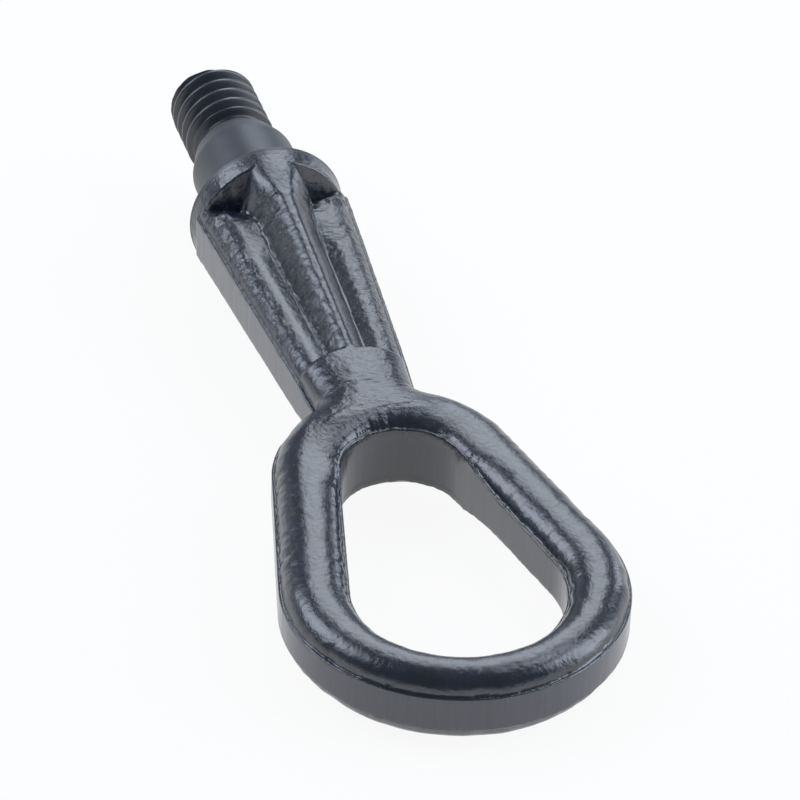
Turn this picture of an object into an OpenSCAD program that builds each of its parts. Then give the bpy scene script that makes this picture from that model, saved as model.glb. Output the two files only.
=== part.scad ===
// Screw-in tow eye, drop forged in one piece and trimmed along its parting line.
// The screw axis is X: threaded end at -X, pulling ring at +X, and the ring lies in the XY plane.
// The origin is on the screw axis, in the shoulder face that seats against the vehicle's socket.
// Upper and lower dies are mirror images, so every height is measured from the parting plane.

/* [Threaded stud] */
// Major diameter of the thread
thread_d = 16; // [12:0.5:20]
// Pitch of the coarse right-hand round thread
thread_pitch = 3.175; // [2:0.025:4]
// Depth of the thread groove
thread_depth = 1.6; // [1:0.1:2.2]
// Width of the flat on a thread crest
crest_flat = 0.5; // [0.3:0.1:1]
// Width of the flat at the bottom of the groove
root_flat = 0.8; // [0.3:0.1:1.2]
// Length of the threaded stretch, from the end face to the relief groove
thread_len = 15.4; // [12:0.2:30]
// Depth of the lead chamfer at the end face
lead_chamfer = 1.1; // [0.5:0.1:2]

/* [Relief and collar] */
// Diameter of the relief groove between thread and collar
relief_d = 13; // [9:0.5:14]
// Length of the relief groove
relief_len = 3; // [2:0.2:8]
// Diameter of the plain guide collar
collar_d = 19; // [17:0.1:24]
// Length of the plain guide collar, up to its lead cone
collar_len = 14.7; // [10:0.1:24]
// Length of the lead cone at the front of the collar
cone_len = 4.5; // [1:0.1:6]
// How much the radius drops over the lead cone
cone_drop = 1.6; // [0.3:0.1:2]

/* [Head disc] */
// Diameter of the head disc at the shoulder face
head_d = 28.1; // [27:0.1:34]
// Thickness of the head disc
head_t = 4.6; // [4:0.1:7]
// Draft of the rim: how much the radius drops over the disc's thickness
head_draft = 0.6; // [0.2:0.1:1.2]
// Chamfer round the shoulder face
head_chamfer = 0.4; // [0.2:0.1:1]
// How far the rear face of the disc leans into the pockets
head_lean = 2.2; // [0.5:0.1:3]

/* [Shank] */
// Width of the shank where it leaves the shoulder
shank_w_head = 28.5; // [27:0.1:35]
// Width of the shank at the waist, where the fillets into the ring begin
shank_w_neck = 18.4; // [16:0.1:24]
// Height of the trimmed flat along the parting line at the head
trim_h_head = 7.9; // [6:0.1:9]
// Height of the trimmed flat along the parting line at the neck
trim_h_neck = 6.5; // [5:0.1:8]
// Height of the centre ridge above the parting plane at the head
ridge_h_head = 13.2; // [12:0.1:15]
// Height of the centre ridge above the parting plane at the neck
ridge_h_neck = 7.7; // [6.5:0.1:9]
// Width of the foot of the centre ridge at the head
ridge_w_head = 10.4; // [9:0.1:13]
// Width of the foot of the centre ridge at the neck
ridge_w_neck = 6; // [5:0.1:9]
// How much the foot of the centre ridge spreads on each side against the head disc
ridge_flare = 1.1; // [0.4:0.1:1.6]
// Height of the outer ribs above the parting plane at the head
rib_h_head = 6.7; // [5.5:0.1:8]
// Height of the outer ribs above the parting plane at the neck
rib_h_neck = 5.6; // [5:0.1:7]
// Depth of the flutes below the outer ribs
flute_depth = 0.6; // [0.3:0.1:1.8]
// Depth of the pockets below the outer ribs, where the flutes end against the head disc
pocket_depth = 1.5; // [0.6:0.1:2.4]
// Length of the pockets
pocket_len = 4.8; // [3:0.1:6]
// How high the flutes start above their floor, just behind the pockets
saddle_h = 1.4; // [0:0.1:2]

/* [Neck block] */
// Distance from the shoulder to the front of the neck block
neck_x = 52; // [49:0.5:54]
// Height of the neck block above the parting plane
neck_h = 7.6; // [7:0.1:10]
// Length of the step from the fluted shank up to the neck block
neck_step = 1; // [0.6:0.1:2]
// Radius of the fillets in plan between neck and ring
neck_fillet = 2.2; // [1:0.1:5]

/* [Ring] */
// Distance from the shoulder to the centre of the wide end of the ring
ring_x = 113; // [103:0.5:120]
// Outer radius of the wide end
ring_r = 28.1; // [26:0.1:31]
// Distance from the shoulder to the centre of the narrow end of the ring
ring_neck_x = 82.6; // [81:0.1:84]
// Outer radius of the narrow end
ring_neck_r = 21; // [20:0.1:22.5]
// Distance from the shoulder to the centre of the wide end of the hole
hole_x = 114.9; // [106:0.1:118]
// Radius of the wide end of the hole
hole_r = 17.2; // [14:0.1:18.5]
// Distance from the shoulder to the centre of the narrow end of the hole
hole_neck_x = 84.5; // [83:0.1:87]
// Radius of the narrow end of the hole
hole_neck_r = 10.4; // [8:0.1:11.5]
// Height of the ring's crown above the parting plane
ring_h = 6.5; // [5.5:0.1:8]
// Height of the trimmed flat round the ring, where it leaves the neck
ring_trim_near_neck = 5.2; // [4:0.1:7]
// Height of the trimmed flat round the ring, at its far end
ring_trim_far = 6.3; // [5:0.1:8]
// Height of the trimmed flat inside the hole, beside the neck
web_h_neck = 11; // [8:0.1:12]
// Height of the trimmed flat inside the hole, at its far end
web_h_far = 7.2; // [5:0.1:9]

/* [Hidden] */
finish = "#343a44";

// Facets round the stud and steps of the forged surface
thread_seg = 30;
end_steps = 26;
leg_steps = 9;
bend_steps = 7;
neck_steps = 26;
across_steps = 12;
shank_steps = 12;
round_fn = 96;

// Stations along the screw axis
crest_r = thread_d / 2;
root_r = crest_r - thread_depth;
collar_r = collar_d / 2;
cone_x = -collar_len - cone_len;
relief_x = cone_x - relief_len;
end_x = relief_x - thread_len;
seat = 0.6;
head_r = head_d / 2;
rim_r = head_r - head_draft;
lean_share = 0.4;

// One pitch of the thread: distance along the axis as a share of the pitch, and radius
flank = (thread_pitch - crest_flat - root_flat) / 2;
thread_profile = [
    [0, crest_r],
    [crest_flat / thread_pitch, crest_r],
    [(crest_flat + flank) / thread_pitch, root_r],
    [(crest_flat + flank + root_flat) / thread_pitch, root_r]
];
points_per_pitch = len(thread_profile);
thread_turns = ceil(thread_len / thread_pitch) + 3;
thread_start = end_x - 1.5 * thread_pitch;

function lerp(a, b, t) = a + (b - a) * t;
function clamp01(t) = max(0, min(1, t));
function smooth(t) = let (c = clamp01(t)) c * c * (3 - 2 * c);

// Two triangles for four corners, which are given anticlockwise as seen from outside
function quad(a, b, c, d) = [[a, c, b], [a, d, c]];

// 1 in the middle and 0 at r = 1, flatter on top with a larger p and steeper at the edge with a smaller q
function arch(r, p, q) = pow(max(0, 1 - pow(min(1, abs(r)), p)), q);

// Radius that the lead chamfer allows at x
function lead_r(x) = crest_r - max(0, end_x + lead_chamfer - x);

// A point of the thread: step n along the helix, corner k of the profile
function thread_point(n, k) =
    let (
        x = thread_start + thread_pitch * (n / thread_seg + thread_profile[k][0]),
        r = max(root_r - lead_chamfer, min(thread_profile[k][1], lead_r(x))),
        a = 360 * n / thread_seg
    )
    [x, r * cos(a), r * sin(a)];

// The helical strip as one closed skin: the last corner of a turn is the first of the next turn
module thread_skin() {
    last = thread_turns * thread_seg;
    m = points_per_pitch;
    rim = last + thread_seg;
    points = concat(
        [for (n = [0 : rim], k = [0 : m - 1]) thread_point(n, k)],
        [[thread_start, 0, 0], [thread_start + (thread_turns + 1) * thread_pitch, 0, 0]]
    );
    first_centre = (rim + 1) * m;
    function id(n, k) = k == m ? (n + thread_seg) * m : n * m + k;
    start_loop = concat(
        [for (n = [0 : thread_seg - 1]) id(n, 0)],
        [for (k = [m : -1 : 1]) id(0, k)]
    );
    end_loop = concat(
        [for (n = [0 : thread_seg - 1]) id(last + n, 0)],
        [for (k = [m : -1 : 1]) id(last, k)]
    );
    skin = [
        for (n = [0 : last - 1], k = [0 : m - 1])
            each quad(id(n, k), id(n + 1, k), id(n + 1, k + 1), id(n, k + 1))
    ];
    caps = concat(
        [for (i = [0 : len(start_loop) - 1])
            [first_centre, start_loop[i], start_loop[(i + 1) % len(start_loop)]]],
        [for (i = [0 : len(end_loop) - 1])
            [first_centre + 1, end_loop[(i + 1) % len(end_loop)], end_loop[i]]]
    );
    polyhedron(points, concat(skin, caps));
}

// The thread, cut square at the end face and at the relief groove
module threaded_stud() {
    intersection() {
        thread_skin();
        translate([end_x, -thread_d, -thread_d])
            cube([thread_len, 2 * thread_d, 2 * thread_d]);
    }
}

// Relief groove, guide collar with its lead cone, and head disc: one turned profile
module turned_head() {
    rotate([0, 90, 0])
        rotate_extrude($fn = round_fn)
            polygon([
                [0, relief_x - thread_pitch],
                [relief_d / 2, relief_x - thread_pitch],
                [relief_d / 2, cone_x],
                [collar_r - cone_drop, cone_x],
                [collar_r, -collar_len],
                [collar_r, 0],
                [head_r - head_chamfer, 0],
                [head_r, head_chamfer],
                [rim_r, head_t],
                [rim_r * lean_share, head_t + head_lean],
                [0, head_t + head_lean]
            ]);
}

// Plan of the shank: its half width falls along a straight line, and a fillet turns it out into the ring
waist_x = ring_neck_x - ring_neck_r;
taper = (shank_w_head - shank_w_neck) / 2 / waist_x;
slant = sqrt(1 + taper * taper);
function straight_w(x) = shank_w_head / 2 - taper * x;

// Centre of the fillet: neck_fillet away from the straight line and from the ring's narrow end
fillet_reach = ring_neck_r + neck_fillet;
fillet_base = straight_w(ring_neck_x) + neck_fillet * slant;
fillet_root = sqrt(pow(slant * fillet_reach, 2) - pow(fillet_base, 2));
fillet_x = ring_neck_x + (fillet_base * taper - fillet_root) / (slant * slant);
fillet_y = fillet_base - taper * (fillet_x - ring_neck_x);
fillet_start = fillet_x - neck_fillet * taper / slant;
function shank_w(x) =
    x < fillet_start
        ? (x > head_t ? straight_w(x) : min(straight_w(x), head_r - head_chamfer))
        : fillet_y - sqrt(max(0, pow(neck_fillet, 2) - pow(x - fillet_x, 2)));

// Half angle of the ring's narrow end that the neck takes up, and where the legs begin
neck_angle = asin(fillet_y / fillet_reach);
leg_angle = asin((ring_r - ring_neck_r) / (ring_x - ring_neck_x));

// Around the loop: [0 at the narrow end to 1 at the wide end, angle about that end's centre]
function arc_point(cx, r, a) = [cx + r * cos(a), r * sin(a)];
function loop_angles() = concat(
    [for (i = [0 : neck_steps]) [0, 180 - neck_angle + 2 * neck_angle * i / neck_steps]],
    [for (i = [1 : bend_steps]) [0, lerp(180 + neck_angle, 270 - leg_angle, i / bend_steps)]],
    [for (i = [1 : leg_steps - 1]) [i / leg_steps, 270 - leg_angle]],
    [for (i = [0 : end_steps]) [1, lerp(-90 - leg_angle, 90 + leg_angle, i / end_steps)]],
    [for (i = [1 : leg_steps - 1]) [1 - i / leg_steps, 90 + leg_angle]],
    [for (i = [0 : bend_steps - 1]) [0, lerp(90 + leg_angle, 180 - neck_angle, i / bend_steps)]]
);
loop = loop_angles();
loop_n = len(loop);
function outer_point(s) =
    arc_point(
        lerp(ring_neck_x, ring_x, loop[s][0]),
        lerp(ring_neck_r, ring_r, loop[s][0]),
        loop[s][1]
    );
function inner_point(s) =
    arc_point(
        lerp(hole_neck_x, hole_x, loop[s][0]),
        lerp(hole_neck_r, hole_r, loop[s][0]),
        loop[s][1]
    );

// Trimmed flat inside the hole: high beside the neck, and it soon falls to its height at the far end
web_fall = 7;
function inner_h(s) =
    let (along = (inner_point(s)[0] - hole_neck_x) / (hole_x - hole_neck_x))
    lerp(web_h_far, web_h_neck, pow(1 - clamp01(along), web_fall)) / 2;

// Section of the neck block: a flat top with steep sides down to the trimmed flat
neck_flatness = 2.4;
neck_steepness = 0.38;
function neck_cross(v) =
    ring_trim_near_neck / 2
        + (neck_h - ring_trim_near_neck / 2) * arch(v, neck_flatness, neck_steepness);
function in_neck(s) = s <= neck_steps;
function neck_v(s) = 2 * s / neck_steps - 1;

// Trimmed flat round the ring, and the neck's own section where the shank runs into it
function outer_h(s) =
    let (along = (outer_point(s)[0] - ring_neck_x) / (ring_x + ring_r - ring_neck_x))
    in_neck(s)
        ? neck_cross(neck_v(s))
        : lerp(ring_trim_near_neck, ring_trim_far, clamp01(along)) / 2;

// The ring's domed section. Its crown lies a little inside the middle of the bar, and beside the
// neck the dome is squarer, because the neck's flat top spreads into the ring's shoulders. Where
// the neck runs in, the dome levels out instead of falling to an edge.
crown_share = 0.49;
dome_flatness = 2.3;
shoulder_flatness = 3.4;
run_in_power = 5;
dome_steepness = 0.54;
shoulder_end = 80;
function shoulder(s) =
    loop[s][0] > 0 ? 0 : 1 - smooth((abs(loop[s][1] - 180) - neck_angle) / (shoulder_end - neck_angle));
crown_blend = 16;
crown_start = 16;
function crown_h(s) =
    let (x = lerp(inner_point(s)[0], outer_point(s)[0], crown_share), y = outer_point(s)[1])
    lerp(neck_h, ring_h, smooth((norm([x - neck_x, y]) - crown_start) / crown_blend));
function ring_top(s, t) =
    let (
        edge = t < crown_share ? inner_h(s) : outer_h(s),
        r = t < crown_share ? (crown_share - t) / crown_share : (t - crown_share) / (1 - crown_share),
        flatness = lerp(dome_flatness, shoulder_flatness, t < crown_share ? 0 : shoulder(s)),
        run_in = in_neck(s) && t > crown_share ? 1 - pow(abs(neck_v(s)), run_in_power) : 0,
        dome = lerp(arch(r, flatness, dome_steepness), 1 - smooth(r), run_in)
    )
    edge + (crown_h(s) - edge) * dome;
function across(k) = (1 - cos(180 * k / across_steps)) / 2;
function ring_point(s, k, side) =
    let (t = across(k), p = lerp(inner_point(s), outer_point(s), t))
    [p[0], p[1], side * ring_top(s, t)];

// Heights and widths of the fluted shank at x
head_reach = 10;
function along_shank(x) = (x - head_t) / (neck_x - head_t);
function ridge_h(x) = lerp(ridge_h_head, ridge_h_neck, along_shank(x));
function at_head(x) = 1 - smooth((x - head_t) / head_reach);
function ridge_w(x) = lerp(ridge_w_head, ridge_w_neck, along_shank(x)) / 2 + ridge_flare * at_head(x);
function rib_h(x) = lerp(rib_h_head, rib_h_neck, along_shank(x));
function trim_h(x) = lerp(trim_h_head, trim_h_neck, x / neck_x) / 2;

// The flutes start on a saddle behind the pockets
saddle_x = 13.5;
saddle_reach = 5.5;
function saddle(x) = saddle_h * exp(-pow((x - saddle_x) / saddle_reach, 2));
function flute_floor(x) = rib_h(x) - flute_depth + saddle(x);

// The centre ridge has a narrow top and nearly straight flanks that end in the flutes. Against
// the head disc it is as full as the disc's rim.
ridge_top_share = 0.13;
full_top_share = 0.25;
ridge_round = 1.4;
full_round = 2.6;
function ridge_top(x, y) =
    let (
        top = lerp(ridge_top_share, full_top_share, at_head(x)),
        r = clamp01((abs(y) / ridge_w(x) - top) / (1 - top)),
        foot = flute_floor(x)
    )
    foot + (ridge_h(x) - foot) * (1 - pow(r, lerp(ridge_round, full_round, at_head(x))));

// The outer ribs fall to the trimmed flat outside and to the flute inside, and are scooped
// out into a pocket against the head disc
rib_share = 0.42;
rib_flatness = 2.4;
rib_steepness = 0.7;
saddle_share = 0.35;
function rib_top(x, y) =
    let (
        w = shank_w(x),
        foot = ridge_w(x),
        crest = lerp(foot, w, rib_share),
        out = clamp01((abs(y) - crest) / (w - crest)),
        inn = clamp01((crest - abs(y)) / (crest - foot)),
        scoop = pocket_depth * (1 - smooth((x - head_t) / pocket_len)) * (1 - pow(out, 4)),
        rise = saddle(x) * lerp(saddle_share, 1, smooth(inn)) * (1 - smooth(out))
    )
    out > 0
        ? trim_h(x) + (rib_h(x) - trim_h(x)) * arch(out, rib_flatness, rib_steepness)
            - scoop * (1 - out) + rise
        : rib_h(x) - flute_depth * smooth(inn) - scoop + rise;
function fluted_top(x, y) =
    abs(y) < ridge_w(x) ? max(ridge_top(x, y), rib_top(x, ridge_w(x))) : rib_top(x, y);

// Inside the head disc the skin is hidden, and only has to stay within the disc
buried_share = 0.7;
function shank_top(x, v) =
    x < head_t
        ? buried_share * fluted_top(head_t, v * shank_w(head_t))
        : fluted_top(x, v * shank_w(x));

// Rows across the shank, from inside the head disc to the neck block. The rows bow
// towards the ring, so that the step of the neck block is part of a circle in plan.
pocket_rows = [0, 0.3, 0.65];
neck_rows = 3;
row_x = concat(
    [seat],
    [for (part = pocket_rows) head_t + pocket_len * part],
    [for (i = [0 : shank_steps]) lerp(head_t + pocket_len, neck_x, i / shank_steps)],
    [for (i = [0 : neck_rows]) lerp(neck_x + neck_step, waist_x, i / (neck_rows + 1))]
);
row_n = len(row_x);
step_row = row_n - neck_rows - 1;
row_bow = ring_neck_r * (1 - cos(neck_angle));
function bow(x) = row_bow * smooth(along_shank(x));
function shank_point(r, c, side) =
    let (
        v = sin(90 * neck_v(c)),
        x = row_x[r] + bow(row_x[r]) * v * v,
        z = r < step_row ? shank_top(x, v) : neck_cross(neck_v(c))
    )
    [x, -v * shank_w(x), side * z];

// The forging: a domed ring and a fluted shank in one skin, joined along the neck
module forging() {
    t_n = across_steps + 1;
    ring_size = loop_n * t_n;
    c_n = neck_steps + 1;
    shank_size = row_n * c_n;
    points = concat(
        [for (s = [0 : loop_n - 1], k = [0 : across_steps]) ring_point(s, k, 1)],
        [for (s = [0 : loop_n - 1], k = [0 : across_steps]) ring_point(s, k, -1)],
        [for (r = [0 : row_n - 1], c = [0 : neck_steps]) shank_point(r, c, 1)],
        [for (r = [0 : row_n - 1], c = [0 : neck_steps]) shank_point(r, c, -1)]
    );
    function ring_id(s, k, low) = low * ring_size + (s % loop_n) * t_n + k;
    function shank_id(r, c, low) =
        r == row_n
            ? ring_id(c, across_steps, low)
            : 2 * ring_size + low * shank_size + r * c_n + c;
    ring_skin = [
        for (s = [0 : loop_n - 1], k = [0 : across_steps - 1])
            each concat(
                quad(ring_id(s, k, 0), ring_id(s, k + 1, 0), ring_id(s + 1, k + 1, 0), ring_id(s + 1, k, 0)),
                quad(ring_id(s, k, 1), ring_id(s + 1, k, 1), ring_id(s + 1, k + 1, 1), ring_id(s, k + 1, 1))
            )
    ];
    hole_wall = [
        for (s = [0 : loop_n - 1])
            each quad(ring_id(s, 0, 0), ring_id(s + 1, 0, 0), ring_id(s + 1, 0, 1), ring_id(s, 0, 1))
    ];
    outer_wall = [
        for (s = [neck_steps : loop_n - 1], k = [across_steps])
            each quad(ring_id(s, k, 0), ring_id(s, k, 1), ring_id(s + 1, k, 1), ring_id(s + 1, k, 0))
    ];
    shank_skin = [
        for (r = [0 : row_n - 1], c = [0 : neck_steps - 1])
            each concat(
                quad(shank_id(r, c, 0), shank_id(r, c + 1, 0), shank_id(r + 1, c + 1, 0), shank_id(r + 1, c, 0)),
                quad(shank_id(r, c, 1), shank_id(r + 1, c, 1), shank_id(r + 1, c + 1, 1), shank_id(r, c + 1, 1))
            )
    ];
    side_walls = [
        for (r = [0 : row_n - 1])
            each concat(
                quad(shank_id(r, 0, 0), shank_id(r + 1, 0, 0), shank_id(r + 1, 0, 1), shank_id(r, 0, 1)),
                quad(
                    shank_id(r, neck_steps, 0), shank_id(r, neck_steps, 1),
                    shank_id(r + 1, neck_steps, 1), shank_id(r + 1, neck_steps, 0)
                )
            )
    ];
    head_end = [
        for (c = [0 : neck_steps - 1])
            each quad(shank_id(0, c, 0), shank_id(0, c, 1), shank_id(0, c + 1, 1), shank_id(0, c + 1, 0))
    ];
    polyhedron(points, concat(ring_skin, hole_wall, outer_wall, shank_skin, side_walls, head_end));
}

module tow_eye() {
    color(finish)
        union() {
            threaded_stud();
            turned_head();
            forging();
        }
}

tow_eye();
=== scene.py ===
"""A screw-in tow eye, drop forged in one piece and dip coated, on a plain studio floor.

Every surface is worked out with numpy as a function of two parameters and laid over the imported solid,
in the same frame: the screw axis is X, the ring lies in the XY plane, and the parting plane is z = 0.
"""

import math
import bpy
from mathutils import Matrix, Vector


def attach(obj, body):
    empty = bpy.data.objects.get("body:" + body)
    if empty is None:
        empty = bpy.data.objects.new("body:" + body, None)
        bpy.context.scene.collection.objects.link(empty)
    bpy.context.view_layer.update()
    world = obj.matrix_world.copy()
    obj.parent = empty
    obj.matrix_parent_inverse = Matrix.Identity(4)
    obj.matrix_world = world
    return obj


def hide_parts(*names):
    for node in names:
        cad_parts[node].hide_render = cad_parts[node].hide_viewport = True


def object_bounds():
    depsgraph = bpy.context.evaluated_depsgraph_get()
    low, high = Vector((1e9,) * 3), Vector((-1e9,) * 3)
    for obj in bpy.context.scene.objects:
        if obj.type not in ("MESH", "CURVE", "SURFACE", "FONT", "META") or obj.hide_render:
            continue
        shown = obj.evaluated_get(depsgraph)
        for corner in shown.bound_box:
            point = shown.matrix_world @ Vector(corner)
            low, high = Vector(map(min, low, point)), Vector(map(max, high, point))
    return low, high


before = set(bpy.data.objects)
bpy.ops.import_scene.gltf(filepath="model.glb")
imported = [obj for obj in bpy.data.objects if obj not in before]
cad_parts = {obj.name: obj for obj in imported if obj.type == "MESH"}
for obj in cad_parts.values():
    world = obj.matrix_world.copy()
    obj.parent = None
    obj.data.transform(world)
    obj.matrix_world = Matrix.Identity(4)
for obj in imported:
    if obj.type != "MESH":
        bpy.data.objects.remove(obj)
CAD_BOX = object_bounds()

from types import SimpleNamespace

import bpy
import numpy as np
from mathutils import Matrix, Vector

bl_info = {
    "name": "Forged tow eye",
    "version": (1, 0, 0),
    "blender": (4, 5, 0),
    "location": "View3D > Sidebar > Tow Eye",
    "description": "Builds a forged screw-in tow eye with its thread, collar, shank and ring",
    "category": "Add Mesh",
}

MM = 0.001
BODY = "root"
NODE = "tow_eye"


# Properties

def length(label, about, value):
    """A length property whose default is given in millimetres."""
    return bpy.props.FloatProperty(
        name=label, description=about, default=value * MM, unit="LENGTH", precision=5)


def share(label, about, value):
    """A plain number property."""
    return bpy.props.FloatProperty(name=label, description=about, default=value, precision=3)


def linear(hex_colour):
    """sRGB hex to linear red, green and blue."""
    values = [int(hex_colour[i:i + 2], 16) / 255 for i in (1, 3, 5)]
    return [v / 12.92 if v <= 0.04045 else ((v + 0.055) / 1.055) ** 2.4 for v in values]


def colour(label, about, value):
    """A colour property whose default is given as sRGB hex."""
    return bpy.props.FloatVectorProperty(
        name=label, description=about, default=linear(value), subtype="COLOR", size=3, min=0, max=1)


class TowEyeStudSizes(bpy.types.PropertyGroup):
    thread_d: length("Thread diameter", "Major diameter of the round thread", 16)
    pitch: length("Pitch", "Pitch of the right-hand thread", 3.175)
    depth: length("Thread depth", "Depth of the thread groove", 1.6)
    thread_len: length("Thread length", "From the end face to the relief groove", 15.4)
    lead: length("Lead chamfer", "Chamfer at the end face", 1.1)
    relief_d: length("Relief diameter", "Diameter of the relief groove", 13)
    relief_len: length("Relief length", "Length of the relief groove", 3)
    collar_d: length("Collar diameter", "Diameter of the guide collar", 19)
    collar_len: length("Collar length", "Guide collar up to its lead cone", 14.7)
    cone_len: length("Cone length", "Length of the lead cone", 4.5)
    cone_drop: length("Cone drop", "How much the radius drops over the lead cone", 1.6)
    head_d: length("Head diameter", "Diameter of the head disc at the shoulder face", 28.1)
    head_t: length("Head thickness", "Thickness of the head disc", 4.6)
    head_draft: length("Head draft", "How much the rim's radius drops over the thickness", 0.6)
    head_chamfer: length("Head chamfer", "Chamfer round the shoulder face", 0.4)
    lean: length("Rear face lean", "How far the disc's rear face leans into the pockets", 2.2)


class TowEyeShankSizes(bpy.types.PropertyGroup):
    w_head: length("Width at the head", "Width of the shank at the shoulder", 28.5)
    w_neck: length("Width at the waist", "Width of the shank at the waist", 18.4)
    trim_head: length("Flat at the head", "Height of the trimmed flat at the head", 7.9)
    trim_neck: length("Flat at the neck", "Height of the trimmed flat at the neck", 6.5)
    ridge_h_head: length("Ridge at the head", "Height of the centre ridge at the head", 13.2)
    ridge_h_neck: length("Ridge at the neck", "Height of the centre ridge at the neck", 7.7)
    ridge_w_head: length("Ridge foot at the head", "Width of the ridge's foot at the head", 10.4)
    ridge_w_neck: length("Ridge foot at the neck", "Width of the ridge's foot at the neck", 6)
    ridge_flare: length("Ridge flare", "How much the ridge's foot spreads against the disc", 1.1)
    rib_head: length("Rib at the head", "Height of the outer ribs at the head", 6.7)
    rib_neck: length("Rib at the neck", "Height of the outer ribs at the neck", 5.6)
    flute: length("Flute depth", "Depth of the flutes below the ribs", 0.6)
    pocket_depth: length("Pocket depth", "Depth of the pockets below the ribs", 1.5)
    pocket_len: length("Pocket length", "Length of the pockets", 4.8)
    saddle: length("Saddle", "How high the flutes start behind the pockets", 1.4)
    neck_x: length("Neck place", "From the shoulder to the neck block", 52)
    neck_h: length("Neck height", "Height of the neck block", 7.6)
    neck_step: length("Neck step", "Length of the step up to the neck block", 1.0)
    fillet: length("Neck fillet", "Fillets in plan between neck and ring", 2.2)


class TowEyeRingSizes(bpy.types.PropertyGroup):
    x: length("Wide end", "Centre of the wide end", 113)
    r: length("Wide radius", "Outer radius of the wide end", 28.1)
    neck_x: length("Narrow end", "Centre of the narrow end", 82.6)
    neck_r: length("Narrow radius", "Outer radius of the narrow end", 21)
    hole_x: length("Hole's wide end", "Centre of the hole's wide end", 114.9)
    hole_r: length("Hole's wide radius", "Radius of the hole's wide end", 17.2)
    hole_neck_x: length("Hole's narrow end", "Centre of the hole's narrow end", 84.5)
    hole_neck_r: length("Hole's narrow radius", "Radius of the hole's narrow end", 10.4)
    h: length("Crown height", "Height of the ring's crown", 6.5)
    trim_neck: length("Outer flat at the neck", "Height of the outer trimmed flat at the neck", 5.2)
    trim_far: length("Outer flat, far end", "Height of the outer trimmed flat at the far end", 6.3)
    web_neck: length("Inner flat at the neck", "Height of the hole's trimmed flat at the neck", 11)
    web_far: length("Inner flat, far end", "Height of the hole's trimmed flat at the far end", 7.2)
    ledge: length("Trimmed ledge", "Width of the ledge that trimming leaves beside the flats", 0.3)
    edge_r: length("Trimmed edge", "Radius of the edge between the ledge and the flat", 0.28)
    crown: share("Crown share", "Where the crown lies between the hole and the outside", 0.49)


class TowEyeFinish(bpy.types.PropertyGroup):
    coat: colour("Coat", "Blue-black dip coat", "#20252f")
    coat_worn: colour("Coat, thin", "The coat where it lies thin over high spots", "#2c3441")
    # Trimmed-flat colours, lighter than the coat: partly the shear marks' own tone, partly painted
    # reflection of the floor
    trimmed: colour("Trimmed flat", "The coat over the pale shear marks of the trimmed flats", "#454754")
    trimmed_dark: colour("Trimmed flat, dark", "The coat between the shear marks", "#2b2d38")
    floor: colour("Floor", "Pale studio floor", "#f4f5f7")
    gloss: share("Gloss", "Roughness of the coat's surface", 0.17)


GROUPS = {
    "tow_eye_stud": TowEyeStudSizes,
    "tow_eye_shank": TowEyeShankSizes,
    "tow_eye_ring": TowEyeRingSizes,
    "tow_eye_finish": TowEyeFinish,
}


def sizes(group):
    """A property group's values by name, with its lengths in millimetres."""
    values = {}
    for prop in group.bl_rna.properties:
        if prop.identifier in ("rna_type", "name"):
            continue
        value = getattr(group, prop.identifier)
        if getattr(prop, "unit", "") == "LENGTH":
            value = value / MM
        values[prop.identifier] = value
    return SimpleNamespace(**values)


# Numbers

def lerp(a, b, t):
    """a at t = 0 and b at t = 1."""
    return a + (b - a) * t


def smooth(t):
    """0 below 0, 1 above 1, and 3t^2 - 2t^3 between."""
    t = np.clip(t, 0, 1)
    return t * t * (3 - 2 * t)


def arch(r, p, q):
    """(1 - |r|^p)^q: 1 in the middle, 0 at the edges, flatter with p and steeper with a smaller q."""
    return np.maximum(0, 1 - np.minimum(1, np.abs(r)) ** p) ** q


def bump(t):
    """A smooth hill that is 1 at t = 0 and dies out by |t| = 2: exp(-t^2)."""
    return np.exp(-t * t)


def lattice(cell, seed):
    """A fixed number from -1 to 1 for every whole-number cell, from integer mixing with large primes."""
    mixed = cell[..., 0] * 374761393 + cell[..., 1] * 668265263 + cell[..., 2] * 1440662683
    mixed = (mixed + seed * 974711) & 0xFFFFFFFF
    mixed = ((mixed ^ (mixed >> 13)) * 1274126177) & 0xFFFFFFFF
    mixed = ((mixed ^ (mixed >> 15)) * 668265263) & 0xFFFFFFFF
    return ((mixed ^ (mixed >> 16)) & 0xFFFFF) / 524287.5 - 1


def noise(points, size, seed):
    """Value noise from -1 to 1: corner values of a lattice of that spacing in mm, blended smoothly."""
    p = points / size
    cell = np.floor(p).astype(np.int64)
    f = p - cell
    w = f * f * f * (f * (f * 6 - 15) + 10)
    total = 0
    for corner in np.ndindex(2, 2, 2):
        corner = np.array(corner)
        weight = np.prod(np.where(corner, w, 1 - w), axis=-1)
        total = total + weight * lattice(cell + corner, seed)
    return total


def layered(points, size, seed, layers=3):
    """Noise of that spacing plus finer layers, each half as wide and half as high."""
    total = 0
    for layer in range(layers):
        total = total + noise(points, size / 2 ** layer, seed + layer) / 2 ** layer
    return total / (2 - 0.5 ** (layers - 1))


def sheet(a, b, seed, layers=1):
    """Noise over two coordinates that are already divided by the size of its patches."""
    return layered(np.stack([a, b, np.full_like(a, 3.7 * seed)], axis=-1), 1.0, seed, layers)


def marked(points, mark, layers=3):
    """A mark's noise: the mark is its height, its size and its seed."""
    height, size, seed = mark
    return height * layered(points, size, seed, layers)


def folds(a, b, seed):
    """Wrinkles from 0 to 1: sharp crests where the noise crosses zero, and rounded bottoms."""
    return np.clip(1 - 2.2 * np.abs(sheet(a, b, seed, 2)), 0, 1)


# Meshes

def grid_quads(ids, around):
    """Quads between neighbouring rows and columns of an array of point numbers, closed round if asked."""
    if around:
        ids = np.concatenate([ids, ids[:, :1]], axis=1)
    quads = np.stack([ids[:-1, :-1], ids[1:, :-1], ids[1:, 1:], ids[:-1, 1:]], axis=-1)
    return quads.reshape(-1, 4)


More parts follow.
